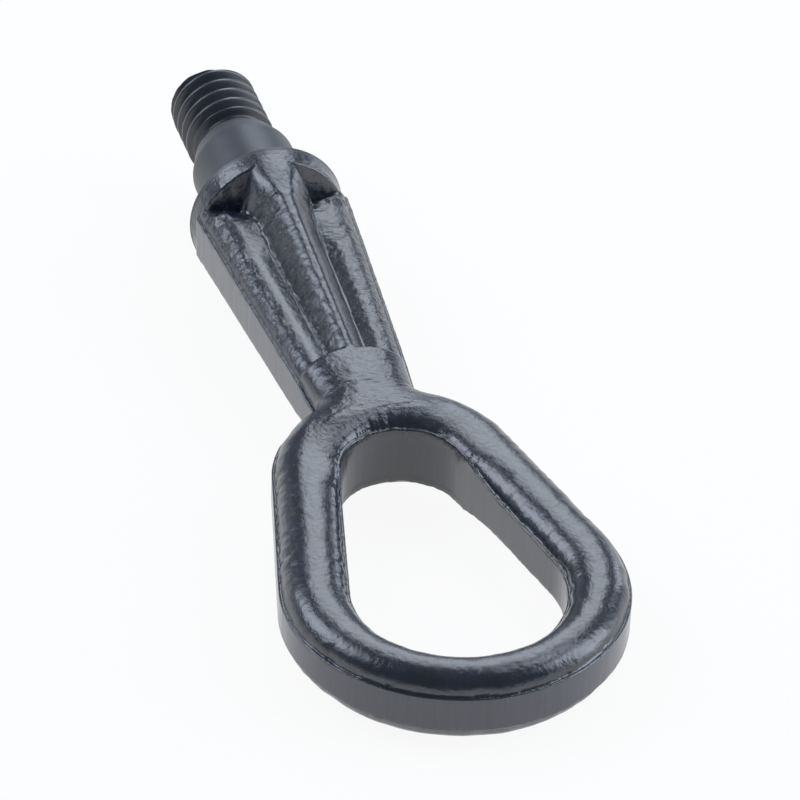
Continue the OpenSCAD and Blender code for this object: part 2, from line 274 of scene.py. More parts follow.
def fan(rim, centre):
    """Triangles from a closed rim of point numbers to one centre point."""
    return np.stack([rim, np.roll(rim, -1), np.full_like(rim, centre)], axis=-1)


def normals(points, faces):
    """Unit normal at each point: the sum of its faces' area vectors."""
    total = np.zeros_like(points)
    for face in faces:
        across = points[face[:, 2]] - points[face[:, 0]]
        last = face[:, 3] if face.shape[1] == 4 else face[:, 0]
        up = points[last] - points[face[:, 1]]
        area = np.cross(across, up)
        for corner in range(face.shape[1]):
            np.add.at(total, face[:, corner], area)
    return total / np.maximum(1e-12, np.linalg.norm(total, axis=1, keepdims=True))


def make_piece(name, points, faces, material, zones=None):
    """A smooth-shaded mesh object from points in millimetres, which rides on the part's body."""
    old = bpy.data.objects.get(name)
    if old is not None:
        bpy.data.objects.remove(old)
    low, high = np.array(CAD_BOX)
    points = np.clip(points * MM, low, high)
    mesh = bpy.data.meshes.new(name)
    mesh.from_pydata(points.tolist(), [], [f for face in faces for f in face.tolist()])
    mesh.shade_smooth()
    for zone, values in (zones or {}).items():
        attribute = mesh.attributes.new(zone, "FLOAT", "POINT")
        attribute.data.foreach_set("value", values.astype(np.float32))
    if mesh.validate():
        raise RuntimeError(f"the mesh of {name} has faces that don't hold together")
    piece = bpy.data.objects.new(name, mesh)
    bpy.context.scene.collection.objects.link(piece)
    mesh.materials.append(material)
    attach(piece, BODY)
    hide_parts(NODE)
    return piece


# Plan of the forging

# Numbers of the forging's form that a user wouldn't change: lengths in mm, shares and powers
FORM = SimpleNamespace(
    side_gap=0.15, side_spread=0.05,
    flats_meet=9, neck_round=2.4, neck_steepness=0.38,
    dome_round=2.3, shoulder_round=2.9, dome_steepness=0.54,
    web_power=7, crown_reach=16,
    head_reach=10, saddle_x=13.5, saddle_reach=5.5, saddle_share=0.35,
    rib_crest=0.42, rib_round=2.4, rib_steepness=0.7,
    ridge_top=0.13, ridge_top_head=0.25, ridge_round=1.4, ridge_round_head=2.6,
    rim_reach=6, rim_half_width=4.6, rim_slope=3.4, rim_softness=0.5)
# Angles from the neck over which the ring's section turns from the neck's to its own, in radians
NECK_BLEND = 0.45
SHOULDER_END = math.radians(80)
# What trimming leaves uneven along the ring's edges: height or share, size in mm, seed
TORN_LEDGE = (0.7, 1.6, 11)
TORN_EDGE = (0.35, 1.1, 17)
TORN_INSIDE = (0.2, 1.2, 23)
TORN_OUTSIDE = (0.14, 1.5, 29)
# The loop in which that noise is read, as wide and as long as this in mm
TORN_RADIUS = 9
TORN_LENGTH = 30
# In mm, how far the ridge stands out of the disc's skin, how deep the rest of the shank is sunk in it,
# and how much deeper that and the ridge lie near the shoulder face
DISC_SKIN = 0.02
SUNK = 0.3
SUNK_MORE = 1.2
RIDGE_SUNK = 1.5
# Half the width in mm over which the ridge comes through the disc's skin
RIDGE_REACH = 4.9
# Where the shank's points start inside the disc, where its sides start to grow out of it, and how
# wide they are till then, in mm
SEAT = 0.6
GROW = 2.2
HIDDEN_WIDTH = 12.5


def plan_of(shank, ring):
    """The shank's straight sides and the fillets that turn them into the ring, worked out in plan.

    A fillet's centre lies one fillet radius off the straight side and off the ring's narrow end.
    """
    waist = ring.neck_x - ring.neck_r
    taper = (shank.w_head - shank.w_neck) / 2 / waist
    slant = math.hypot(1, taper)
    reach = ring.neck_r + shank.fillet
    base = shank.w_head / 2 - taper * ring.neck_x + shank.fillet * slant
    root = math.sqrt((slant * reach) ** 2 - base ** 2)
    x = ring.neck_x + (base * taper - root) / slant ** 2
    y = base - taper * (x - ring.neck_x)
    return SimpleNamespace(
        waist=waist, taper=taper, fillet_x=x, fillet_y=y,
        fillet_start=x - shank.fillet * taper / slant,
        neck_angle=math.asin(y / reach),
        leg_angle=math.asin((ring.r - ring.neck_r) / (ring.x - ring.neck_x)))


def shank_width(x, shank, plan, stud):
    """Half width at x: a falling straight line, kept to the disc at its end, then the fillet's arc."""
    straight = shank.w_head / 2 - plan.taper * x
    beside_disc = stud.head_d / 2 - FORM.side_gap + FORM.side_spread * np.maximum(0, x - stud.head_t)
    arc = plan.fillet_y - np.sqrt(np.maximum(0, shank.fillet ** 2 - (x - plan.fillet_x) ** 2))
    return np.where(x < plan.fillet_start, np.minimum(straight, beside_disc), arc)


def edge_distance(x, y, shank, plan):
    """Distance in plan from a point of the shank or the neck to the trimmed outline.

    Up to the fillet it is measured to the straight side, and beyond it to the fillet's arc.
    """
    straight = (shank.w_head / 2 - plan.taper * x - np.abs(y)) / math.hypot(1, plan.taper)
    arc = np.hypot(x - plan.fillet_x, np.abs(y) - plan.fillet_y) - shank.fillet
    return np.maximum(0, np.where(x < plan.fillet_start, straight, arc))


# Counts of faces, chosen so that most edges are 0.3 to 0.5 mm long: round the ring along the neck,
# each bend, each leg and the wide end
NECK = 92
BEND = 26
LEG = 72
END = 236
# across the ring's upper and lower face, down its outer flat and down the hole's
DOME = 54
UNDER = 26
WALL = 10
WEB = 14
# along the shank, in the disc and behind it
SEAT_ROWS = 13
ROWS = 176


def loop_of(plan):
    """Stations round the ring: the share along a leg, and the angle about that end's centre."""
    neck, leg = plan.neck_angle, plan.leg_angle
    pi = math.pi
    shares = [
        np.zeros(NECK + 1), np.zeros(BEND), np.arange(1, LEG) / LEG, np.ones(END + 1),
        1 - np.arange(1, LEG) / LEG, np.zeros(BEND)]
    angles = [
        pi + neck * spacing(np.linspace(-1, 1, NECK + 1)),
        np.linspace(pi + neck, 1.5 * pi - leg, BEND + 1)[1:],
        np.full(LEG - 1, 1.5 * pi - leg),
        np.linspace(-pi / 2 - leg, pi / 2 + leg, END + 1) + 2 * pi,
        np.full(LEG - 1, pi / 2 + leg),
        np.linspace(pi / 2 + leg, pi - neck, BEND + 1)[:-1]]
    return np.concatenate(shares), np.concatenate(angles)


def rounding(d, radius):
    """How far a rounded edge lies below its corner at distance d from the edge: a quarter circle."""
    d = np.clip(d, 0, radius)
    return radius - np.sqrt(np.maximum(0, radius ** 2 - (radius - d) ** 2))


def spacing(c):
    """Spreads columns from -1 to 1 closer towards both ends, to carry the ledge and the edge."""
    return lerp(c, np.sin(np.pi / 2 * c), 0.88)


def neck_section(d, x, crown, shank, ring):
    """Height of the neck block at distance d from the trimmed outline.

    It is low + (crown - low) (1 - r^p)^q, where r is 1 at the ledge and 0 on the flat top.
    """
    low = lerp(shank.trim_neck, ring.trim_neck, smooth((x - shank.neck_x) / FORM.flats_meet)) / 2
    edge = ring.ledge + ring.edge_r
    r = np.clip(1 - (d - edge) / (shank.w_neck / 2 - edge), 0, 1)
    return low + (crown - low) * arch(r, FORM.neck_round, FORM.neck_steepness)


def ring_skin(shank, ring, plan):
    """Points of the ring, station by station and round the bar, and their places along and across it.

    The section runs over the dome from the hole to the outside, down the trimmed flat, back under
    and up the hole's flat. The dome is edge + (crown - edge) (1 - r^p)^q, where r is 0 at the crown
    and 1 at the flats, and a narrow level ledge is left beside each flat. Towards the neck it turns
    into the neck block's section.
    """
    u, a = loop_of(plan)
    plan_points = []
    for x0, x1, r0, r1 in (
            (ring.hole_neck_x, ring.hole_x, ring.hole_neck_r, ring.hole_r),
            (ring.neck_x, ring.x, ring.neck_r, ring.r)):
        r = lerp(r0, r1, u)
        plan_points.append(np.stack([lerp(x0, x1, u) + r * np.cos(a), r * np.sin(a)], axis=-1))
    inner, outer = plan_points
    span = np.linalg.norm(outer - inner, axis=1)

    along = np.clip((inner[:, 0] - ring.hole_neck_x) / (ring.hole_x - ring.hole_neck_x), 0, 1)
    inner_h = lerp(ring.web_far, ring.web_neck, (1 - along) ** FORM.web_power) / 2
    along = np.clip((outer[:, 0] - ring.neck_x) / (ring.x + ring.r - ring.neck_x), 0, 1)
    outer_h = lerp(ring.trim_neck, ring.trim_far, along) / 2
    in_neck = np.arange(len(u)) <= NECK
    off_neck = np.abs(a - math.pi) - plan.neck_angle
    like_neck = np.where(u > 0, 0, 1 - smooth(off_neck / NECK_BLEND))
    shoulder = np.where(u > 0, 0, 1 - smooth(off_neck / (SHOULDER_END - plan.neck_angle)))
    middle = lerp(inner[:, 0], outer[:, 0], ring.crown)
    away = np.hypot(middle - shank.neck_x, outer[:, 1])
    crown_h = lerp(shank.neck_h, ring.h, smooth((away - FORM.crown_reach) / FORM.crown_reach))
    way = np.stack([np.cos(a) * TORN_RADIUS, np.sin(a) * TORN_RADIUS, u * TORN_LENGTH], axis=-1)
    ledge = ring.ledge * (1 + marked(way, TORN_LEDGE))
    edge_r = ring.edge_r * (1 + marked(way, TORN_EDGE, 1))
    inner_h = inner_h + marked(way, TORN_INSIDE)
    outer_h = outer_h + np.where(in_neck, 0, marked(way, TORN_OUTSIDE) * smooth(off_neck / 0.2))

    def dome(count):
        """One die's face across the bar, count + 1 points from the hole to the outside."""
        t = (1 - np.cos(np.pi * np.arange(count + 1) / count)) / 2
        t = t[None, :]
        flat = ((ledge + edge_r) / span)[:, None]
        inside = t < ring.crown
        r_in = (ring.crown - t) / (ring.crown - flat)
        r_out = (t - ring.crown) / (1 - flat - ring.crown)
        r = np.where(inside, r_in, r_out)
        edge = np.where(inside, inner_h[:, None], outer_h[:, None])
        flatness = lerp(FORM.dome_round, FORM.shoulder_round, np.where(inside, 0, shoulder[:, None]))
        z = edge + (crown_h[:, None] - edge) * arch(r, flatness, FORM.dome_steepness)
        xy = inner[:, None, :] + (outer - inner)[:, None, :] * t[..., None]
        to_outside = np.where(
            in_neck[:, None], edge_distance(xy[..., 0], xy[..., 1], shank, plan), (1 - t) * span[:, None])
        neck = neck_section(to_outside, xy[..., 0], crown_h[:, None], shank, ring)
        z = np.where(inside, z, lerp(z, neck, like_neck[:, None]))
        fall = rounding(np.minimum(t * span[:, None], to_outside), edge_r[:, None])
        return np.concatenate([xy, (z - fall)[..., None]], axis=-1)

    top = dome(DOME)
    under = dome(UNDER)[:, ::-1] * np.array([1, 1, -1])
    down = np.arange(1, WALL) / WALL
    outer_wall = top[:, -1:] + (under[:, :1] - top[:, -1:]) * down[None, :, None]
    down = np.arange(1, WEB) / WEB
    inner_wall = under[:, -1:] + (top[:, :1] - under[:, -1:]) * down[None, :, None]
    skin = np.concatenate([top, outer_wall, under, inner_wall], axis=1)
    steps = np.linalg.norm(outer - np.roll(outer, 1, axis=0), axis=1)
    along = np.repeat(np.cumsum(steps)[:, None], skin.shape[1], axis=1)
    across = np.linalg.norm(skin[..., :2] - inner[:, None, :], axis=-1)
    return skin, np.stack([along, across], axis=-1)


def fluted_height(x, y, w, stud, shank, ring):
    """Height of the fluted shank: a centre ridge, a flute on each side, and an outer rib.

    Ridge: floor + (top - floor) (1 - r^p), where r runs from its narrow flat top to its foot, and
    against the disc the ridge fills the disc's rim. Ribs: an arch that falls to the trimmed flat.
    The flutes start on a saddle, and behind the disc a pocket is scooped out.
    """
    behind = x - stud.head_t
    share = behind / (shank.neck_x - stud.head_t)
    at_head = 1 - smooth(behind / FORM.head_reach)
    ridge_h = lerp(shank.ridge_h_head, shank.ridge_h_neck, share)
    foot = lerp(shank.ridge_w_head, shank.ridge_w_neck, share) / 2 + shank.ridge_flare * at_head
    rib = lerp(shank.rib_head, shank.rib_neck, share)
    trim = lerp(shank.trim_head, shank.trim_neck, x / shank.neck_x) / 2
    saddle = shank.saddle * bump((x - FORM.saddle_x) / FORM.saddle_reach)
    crest = lerp(foot, w, FORM.rib_crest)
    across = np.abs(y)
    out = np.clip((across - crest) / (w - ring.ledge - ring.edge_r - crest), 0, 1)
    inn = np.clip((crest - across) / (crest - foot), 0, 1)
    scoop = shank.pocket_depth * (1 - smooth(behind / shank.pocket_len)) * (1 - out ** 4) * (1 - out)
    rise = saddle * lerp(FORM.saddle_share, 1, smooth(inn)) * (1 - smooth(out))
    outer_side = trim + (rib - trim) * arch(out, FORM.rib_round, FORM.rib_steepness)
    rib_top = np.where(out > 0, outer_side, rib - shank.flute * smooth(inn)) - scoop + rise
    flat = lerp(FORM.ridge_top, FORM.ridge_top_head, at_head)
    r = np.clip((across / foot - flat) / (1 - flat), 0, 1)
    floor = rib - shank.flute + saddle
    power = lerp(FORM.ridge_round, FORM.ridge_round_head, at_head)
    ridge_top = floor + (ridge_h - floor) * (1 - r ** power)
    rim = stud.head_d / 2 - stud.head_draft * x / stud.head_t + DISC_SKIN
    beside = FORM.rim_softness * np.log1p(np.exp((across - FORM.rim_half_width) / FORM.rim_softness))
    full = np.sqrt(np.maximum(1, rim ** 2 - y ** 2)) - FORM.rim_slope * beside
    joined = 1 - smooth(behind / FORM.rim_reach)
    ridge_top = lerp(ridge_top, np.maximum(full, ridge_top), joined)
    return np.maximum(np.where(across < foot, ridge_top, rib_top), rib_top)


def inside_disc(x, y, stud):
    """Height that keeps the shank's start under the disc's skin, except that the ridge comes through it.

    Away from the ridge it is sunk into the disc, and near the shoulder all of it is sunk deeper.
    """
    rim = stud.head_d / 2 - stud.head_draft * x / stud.head_t
    sunk = rim - SUNK - SUNK_MORE * smooth((1.6 - x) / 0.9) * (np.abs(y) < 12)
    through = rim + DISC_SKIN - RIDGE_SUNK * smooth((2.2 - x) / 1.2)
    on_ridge = smooth((RIDGE_REACH - np.abs(y)) / 0.8)
    return np.sqrt(np.maximum(0.01, lerp(sunk, through, on_ridge) ** 2 - y ** 2))


def shank_skin(stud, shank, ring, plan):
    """Points of the shank, row by row and round its section.

    A row runs across the top, down one trimmed flat, back under and up the other flat. The rows bow
    towards the ring, so that the step of the neck block is part of a circle in plan, and the columns
    drift from sine spacing at the head to the ring's own stations at the neck.
    """
    in_disc = np.linspace(SEAT, stud.head_t, SEAT_ROWS)[:-1]
    row_x = np.concatenate([in_disc, np.linspace(stud.head_t, plan.waist, ROWS)[:-1]])
    x0 = row_x[:, None]
    column = spacing(np.linspace(-1, 1, NECK + 1))[None, :]
    to_ring = np.sin(plan.neck_angle * column) / math.sin(plan.neck_angle)
    drift_start = 25
    v = lerp(column, to_ring, smooth((x0 - drift_start) / (shank.neck_x - drift_start)))
    full_bow = 1 - math.cos(plan.neck_angle)
    bow = ring.neck_r * full_bow * smooth((x0 - stud.head_t) / (shank.neck_x - stud.head_t))
    x = x0 + bow * (1 - np.cos(plan.neck_angle * v)) / full_bow
    grown = smooth((x0 - stud.head_t + GROW) / GROW)
    w = shank_width(x0 + bow, shank, plan, stud)
    w = lerp(np.minimum(w, HIDDEN_WIDTH), w, grown)
    y = v * w
    fluted = fluted_height(x, y, w, stud, shank, ring)
    beside_flat = smooth((np.abs(v) - 0.84) / 0.05)
    hidden = lerp(np.minimum(fluted, inside_disc(x, y, stud)), fluted, beside_flat)
    fluted = np.where(x0 < stud.head_t, hidden, fluted)
    to_edge = np.minimum(w - np.abs(y), edge_distance(x, y, shank, plan))
    step = smooth((x0 - shank.neck_x) / shank.neck_step)
    z = lerp(fluted, neck_section(to_edge, x, shank.neck_h, shank, ring), step)
    z = z - rounding(to_edge, ring.edge_r)
    top = np.stack([x, -y, z], axis=-1)
    under = top[:, ::-1] * np.array([1, 1, -1])
    down = (np.arange(1, WALL) / WALL)[None, :, None]
    far_wall = lerp(top[:, -1:], under[:, :1], down)
    near_wall = lerp(under[:, -1:], top[:, :1], down)
    skin = np.concatenate([top, far_wall, under, near_wall], axis=1)
    return skin, skin[..., :2]


def forging_mesh(stud, shank, ring):
    """The ring and the shank as one closed skin, joined along the neck by shared points.

    It returns the points, the faces, each point's place along and across the grain, and which points
    are the ring's.
    """
    plan = plan_of(shank, ring)
    loop, loop_grain = ring_skin(shank, ring, plan)
    body, body_grain = shank_skin(stud, shank, ring, plan)
    ring_ids = np.arange(loop.shape[0] * loop.shape[1]).reshape(loop.shape[:2])
    body_ids = ring_ids.size + np.arange(body.shape[0] * body.shape[1]).reshape(body.shape[:2])
    upper, lower = DOME, DOME + WALL
    link = np.concatenate([
        ring_ids[:NECK + 1, upper], ring_ids[NECK, upper + 1:lower],
        ring_ids[NECK::-1, lower], ring_ids[0, lower - 1:upper:-1]])
    closed = np.concatenate([ring_ids, ring_ids[:1]], axis=0)
    neck = closed[:NECK + 1]
    faces = [
        grid_quads(closed[NECK:], True)[:, ::-1],
        grid_quads(np.concatenate([neck[:, lower:], neck[:, :upper + 1]], axis=1), False)[:, ::-1],
        grid_quads(np.concatenate([body_ids, link[None, :]], axis=0), True)[:, ::-1]]
    centre = np.array([[body[0, :, 0].mean(), 0, 0]])
    points = np.concatenate([loop.reshape(-1, 3), body.reshape(-1, 3), centre])
    faces.append(fan(body_ids[0], len(points) - 1)[:, ::-1])
    grain = np.concatenate([loop_grain.reshape(-1, 2), body_grain.reshape(-1, 2), [[0, 0]]])
    on_ring = np.arange(len(points)) < ring_ids.size
    return points, faces, grain, on_ring


# The forging's marks: height, size in mm and seed
WAVES = (0.05, 6.5, 3)
SCALE = (1, 1.6, 5)
HOLLOWS = (0.02, 8, 15)
CRUMBS = (0.35, 1.2, 59)
# Heights in mm of the other marks, whose sizes stand where they are made: on the ring and the shank
SCALE_HEIGHTS = (0.05, 0.034)
# left and right of the ridge
CHIP_HEIGHTS = (0.34, 0.08)
ROW_HEIGHTS = (0.2, 0.08)
FINE_HEIGHTS = (0.02, 0.08)
# and wherever they lie
FLOW_HEIGHT = 0.016
SHEAR_HEIGHT = 0.014
RIDGE_TOP_HEIGHT = 0.08
CREASE_HEIGHT = 0.08
CRUMBLE_HEIGHT = 0.8
# Between the folds' crests and their bottoms, which are 1 and 0
FOLD_MIDDLE = 0.35


def trimmed_zone(z, across, upright, on_ring, shank, ring):
    """1 on the upright flats that trimming leaves, and 0 elsewhere."""
    flat = (1 - smooth((upright - 0.18) / 0.25)) * (np.abs(z) < shank.trim_head / 2 + 0.4)
    hole_side = on_ring & (np.abs(z) > ring.trim_far / 2 + 0.1)
    return np.where(hole_side, flat * (across < 1), flat)


def shank_zones(points, on_ring, open_skin, upright, stud, shank, ring):
    """Where the shank's marks lie, each from 0 to 1 with soft borders of 1 to 4 mm.

    The flank is the ridge's side down to its foot, the rib is all that lies further out, and the outer
    rib starts about halfway from the foot to the trimmed edge. They run from 8 mm behind the shoulder
    face to the neck block. The neck zone is its flat top, and a pit lies 9 mm to each side by the disc.
    """
    x, y, _ = points.T
    reach = np.abs(y)
    share = (x - stud.head_t) / (shank.neck_x - stud.head_t)
    foot = lerp(shank.ridge_w_head, shank.ridge_w_neck, share) / 2
    taper = (shank.w_head - shank.w_neck) / 2 / (ring.neck_x - ring.neck_r)
    side = shank.w_head / 2 - taper * x
    shank_skin_only = ~on_ring * open_skin
    inside = smooth((x - 8) / 4) * smooth((shank.neck_x - x + 1) / 3) * shank_skin_only
    flank = inside * smooth((reach - 0.22 * foot) / 0.8) * (1 - smooth((reach - foot + 0.3) / 0.9))
    rib = inside * smooth((reach - foot - 0.2) / 0.8)
    beyond_flute = smooth((reach - lerp(foot, side, 0.55)) / 1.2)
    short_of_edge = smooth((side - reach - 0.3) / 1.0)
    neck = smooth((x - shank.neck_x) / 1.5) * smooth((74 - x) / 4) * smooth((upright - 0.8) / 0.15)
    return SimpleNamespace(
        flank=flank, rib=rib, outer_rib=rib * beyond_flute * short_of_edge,
        top=inside * (1 - smooth((reach - 0.1 * foot) / 0.9)),
        neck=neck * (reach < 16),
        pit=bump((x - stud.head_t - 3.2) / 1.7) * bump((reach - 9) / 3.4) * shank_skin_only)


def forged_marks(points, faces, grain, on_ring, stud, shank, ring):
    """Moves the skin along its normals for the marks of forging and trimming, and returns their zones.

    Domes carry slow waves, patches of scale and flow lines across the bar. The trimmed flats carry
    upright shear marks. The shank carries oblique wrinkles: deep on one flank of the ridge and across
    the ribs. The neck's flat top carries fine creases, and the pockets crumble.
    """
    normal = normals(points, faces)
    x, y, z = points.T
    along, across = grain.T
    upright = np.abs(normal[:, 2])
    flat = trimmed_zone(z, across, upright, on_ring, shank, ring)
    open_skin = 1 - flat
    zone = shank_zones(points, on_ring, open_skin, upright, stud, shank, ring)

    flow = FLOW_HEIGHT * on_ring * (1 - smooth((upright - 0.6) / 0.3)) * sheet(along, across / 4.5, 7, 2)
    scale = np.where(on_ring, *SCALE_HEIGHTS) * marked(points, SCALE)
    shape = (marked(points, WAVES) + scale + flow) * open_skin
    shape = shape + flat * (SHEAR_HEIGHT * sheet(along / 1.3, z / 9, 13, 2) + marked(points, HOLLOWS))

    left = y < 0
    reach = np.abs(y)
    # Oblique folds: the first coordinate runs along the shank and the second outwards, each divided
    # by the folds' size that way in mm, and the last number is the seed
    slant = x - 0.55 * reach
    chips = folds(slant / 1.5, (reach + 0.5 * x) / 1.9, 31) - FOLD_MIDDLE
    rows = folds(slant / 1.3, (reach + 0.4 * x) / 2.2, 37) - FOLD_MIDDLE
    fine = folds((x + 0.9 * reach) / 1.3, (reach - 0.4 * x) / 3.4, 41) - FOLD_MIDDLE
    shape = shape + np.where(left, *CHIP_HEIGHTS) * zone.flank * chips
    shape = shape + np.where(left, *ROW_HEIGHTS) * zone.outer_rib * rows
    shape = shape + np.where(left, *FINE_HEIGHTS) * zone.rib * fine
    shape = shape + RIDGE_TOP_HEIGHT * zone.top * sheet(x / 1.4, y / 1.1, 43, 2)
    shape = shape + CREASE_HEIGHT * zone.neck * (folds(x / 1.1, y / 3.2, 47) - 0.4)
    crumble = CRUMBLE_HEIGHT * (folds(x / 1.9, y / 2.1, 53) - 0.3)
    shape = shape + zone.pit * (crumble + marked(points, CRUMBS, 2))

    clear_of_disc = smooth((x - 1.2) / 1.0)
    points = points + normal * (shape * clear_of_disc)[:, None]
    wrinkled = np.where(left, 1, 0.6) * zone.flank + 0.8 * zone.outer_rib
    wrinkled = wrinkled + np.where(left, 0.1, 0.5) * zone.rib + 0.3 * zone.neck + zone.pit
    return points, {"forged": open_skin, "trimmed": flat, "wrinkled": np.clip(wrinkled, 0, 1)}


# Turned pieces

# Faces round the turned pieces, 0.2 to 0.3 mm wide, rows along the thread, 0.1 mm apart, and the
# longest step in mm along the head's profile
THREAD_AROUND = 256
HEAD_AROUND = 288
THREAD_ROWS = 190
HEAD_STEP = 0.45
# The forged rim of the disc: height, size in mm and seed, and how far it is set back
RIM_SCALE = (0.1, 1.3, 61)
RIM_WAVES = (0.08, 4, 63)
RIM_SET_BACK = 0.06


def revolve(x, r, around, shape=None):
    """A closed solid of revolution about X from stations x with radii r, which end on the axis.

    shape, if given, turns (x, r, angle) arrays into the radii at each station and angle.
    """
    angle = 2 * np.pi * np.arange(around) / around
    x_grid, angle_grid = np.meshgrid(x[1:-1], angle, indexing="ij")
    r_grid = np.repeat(r[1:-1, None], around, axis=1)
    if shape is not None:
        r_grid = shape(x_grid, r_grid, angle_grid)
    skin = np.stack([x_grid, r_grid * np.cos(angle_grid), r_grid * np.sin(angle_grid)], axis=-1)
    count = x_grid.size
    ids = np.arange(count).reshape(x_grid.shape)
    points = np.concatenate([skin.reshape(-1, 3), [[x[0], 0, 0], [x[-1], 0, 0]]])
    faces = [grid_quads(ids, True)[:, ::-1], fan(ids[0], count)[:, ::-1], fan(ids[-1], count + 1)]
    return points, faces


def rounded_profile(corners, step):
    """Stations along a profile of (x, r, radius) corners: straight runs and rounded corners.

    Each corner is replaced by a short arc through a quadratic curve that leaves and meets its sides
    one radius away from it, and straight runs are cut into steps.
    """
    corners = np.array(corners, float)
    path = [corners[0, :2]]
    for before, here, after in zip(corners[:-2], corners[1:-1], corners[2:]):
        reach = here[2]
        start = here[:2] + (before[:2] - here[:2]) * reach / np.linalg.norm(before[:2] - here[:2])
        end = here[:2] + (after[:2] - here[:2]) * reach / np.linalg.norm(after[:2] - here[:2])
        for t in np.linspace(0, 1, 7):
            path.append((1 - t) ** 2 * start + 2 * t * (1 - t) * here[:2] + t * t * end)
    path.append(corners[-1, :2])
    path = np.array(path)
    out = [path[:1]]
    for a, b in zip(path[:-1], path[1:]):
        count = max(1, int(np.ceil(np.linalg.norm(b - a) / step)))
        out.append(a + (b - a) * (np.arange(1, count + 1) / count)[:, None])
    out = np.concatenate(out)
    return out[:, 0], out[:, 1]


def stations(stud):
    """Places along the screw axis: the cone's small end, the relief groove and the end face."""
    cone = -stud.collar_len - stud.cone_len
    relief = cone - stud.relief_len
    return SimpleNamespace(cone=cone, relief=relief, end=relief - stud.thread_len)


def thread_mesh(stud):
    """The stud: radius = root + depth * w(phase), where phase turns once per pitch along a helix.

    w is a rounded crest and a wider rounded root. A rounded lead caps the radius at the end face,
    and the thread fades into the relief. Negative radii mark the end face's own rings.
    """
    at = stations(stud)
    crest = stud.thread_d / 2
    root = crest - stud.depth
    inside = at.cone + 0.5
    start = at.end - 1.6 * stud.pitch + 0.25
    # Half the crest and the slope beside it, as shares of half a pitch
    crest_half, slope = 0.12, 0.62

    def helix(x, r, angle):
        phase = (x - start) / stud.pitch - angle / (2 * np.pi)
        off_crest = np.abs((phase + 0.5) % 1 - 0.5) * 2
        thread = root + stud.depth * (1 - smooth((off_crest - crest_half) / slope))
        lead = crest - rounding(x - at.end, stud.lead)
        run_out = smooth((x - at.relief + 0.4) / 1.0)
        thread = lerp(thread, stud.relief_d / 2, run_out)
        return np.where(r < 0, -r, np.minimum(thread, lead))

    face = min(crest - stud.lead, root) - 0.1
    rows = np.linspace(at.end, inside, THREAD_ROWS)
    x = np.concatenate([[at.end, at.end, at.end], rows, [inside]])
    r = np.concatenate([[0, -face * 0.5, -face], np.full(rows.size, crest), [0]])
    return revolve(x, r, THREAD_AROUND, helix)


def head_mesh(stud):
    """Relief groove, lead cone, guide collar and head disc: one turned profile with small radii."""
    at = stations(stud)
    collar, head = stud.collar_d / 2, stud.head_d / 2
    rear = head - stud.head_draft
    groove = stud.relief_d / 2 - 0.02
    corners = [
        (at.relief + 0.6, 0, 0),
        (at.relief + 0.6, groove, 0.05),
        (at.cone, groove, 0.35),
        (at.cone, collar - stud.cone_drop, 0.25),
        (-stud.collar_len, collar, 0.6),
        (0, collar, 0.3),
        (0, head - stud.head_chamfer, 0.25),
        (stud.head_chamfer, head, 0.25),
        (stud.head_t, rear, 0.5),
        (stud.head_t + stud.lean, rear * 0.4, 0.3),
        (stud.head_t + stud.lean, 0, 0)]
    x, r = rounded_profile(corners, HEAD_STEP)
    points, faces = revolve(x, r, HEAD_AROUND)
    normal = normals(points, faces)
    forged = smooth((points[:, 0] - 0.9) / 0.8)
    rough = marked(points, RIM_SCALE, 2) + marked(points, RIM_WAVES, 2) - RIM_SET_BACK
    return points + normal * (forged * rough)[:, None], faces, {"forged": forged}


# Materials

def node(tree, kind, attributes=None, **sockets):
    """Adds a shader node, sets its attributes, and links its sockets or sets their values.

    A socket is given by its name or, as i0 or i1, by its place.
    """
    made = tree.nodes.new("ShaderNode" + kind)
    for key, value in (attributes or {}).items():
        setattr(made, key, value)
    for key, value in sockets.items():
        by_place = key[0] == "i" and key[1:].isdigit()
        socket = made.inputs[int(key[1:]) if by_place else key.replace("_", " ")]
        if isinstance(value, bpy.types.NodeSocket):
            tree.links.new(value, socket)
        else:
            socket.default_value = value
    return made


def new_material(name):
    """An empty node material; an older one of that name goes."""
    material = bpy.data.materials.get(name)
    if material is not None:
        bpy.data.materials.remove(material)
    material = bpy.data.materials.new(name)
    material.use_nodes = True
    material.node_tree.nodes.clear()
    return material, material.node_tree


# Sizes of the coat's patterns in mm. The film's own grain is finer than a pixel, so the peel, the
# chips and the shear marks are drawn as coarse as they need to be to show.
PEEL = 0.75
THREAD_PEEL = 0.9
CHIPS = 0.7
SHEAR = 0.9
BLOTCH = 5
# Heights of those patterns in mm
FORGED_PEEL_HEIGHT = 0.095
TURNED_PEEL_HEIGHT = 0.1
THREAD_PEEL_HEIGHT = 0.03
# The most of that height that shows on turned surfaces, in shear marks and in chips
TURNED_SHARE = 0.2
SHEAR_SHARE = 0.25
CHIP_SHARE = 3.0
# Roughness of the film where the steel below was turned or rolled
TURNED_ROUGHNESS = 0.46
THREAD_ROUGHNESS = 0.34


def new_noise(tree, place, size, detail, roughness):
    """Noise at a size in mm."""
    made = node(tree, "TexNoise", Vector=place, Scale=1 / (size * MM), Detail=detail, Roughness=roughness)
    return made.outputs["Fac"]


def zone_value(tree, name):
    """One of the mesh's zones, from 0 to 1."""
    return node(tree, "Attribute", {"attribute_name": name}).outputs["Fac"]


def two_colours(tree, share, low, high):
    """A colour that is low where share is 0 and high where it is 1."""
    return node(tree, "Mix", {"data_type": "RGBA"}, i0=share, i6=(*low, 1), i7=(*high, 1)).outputs[2]


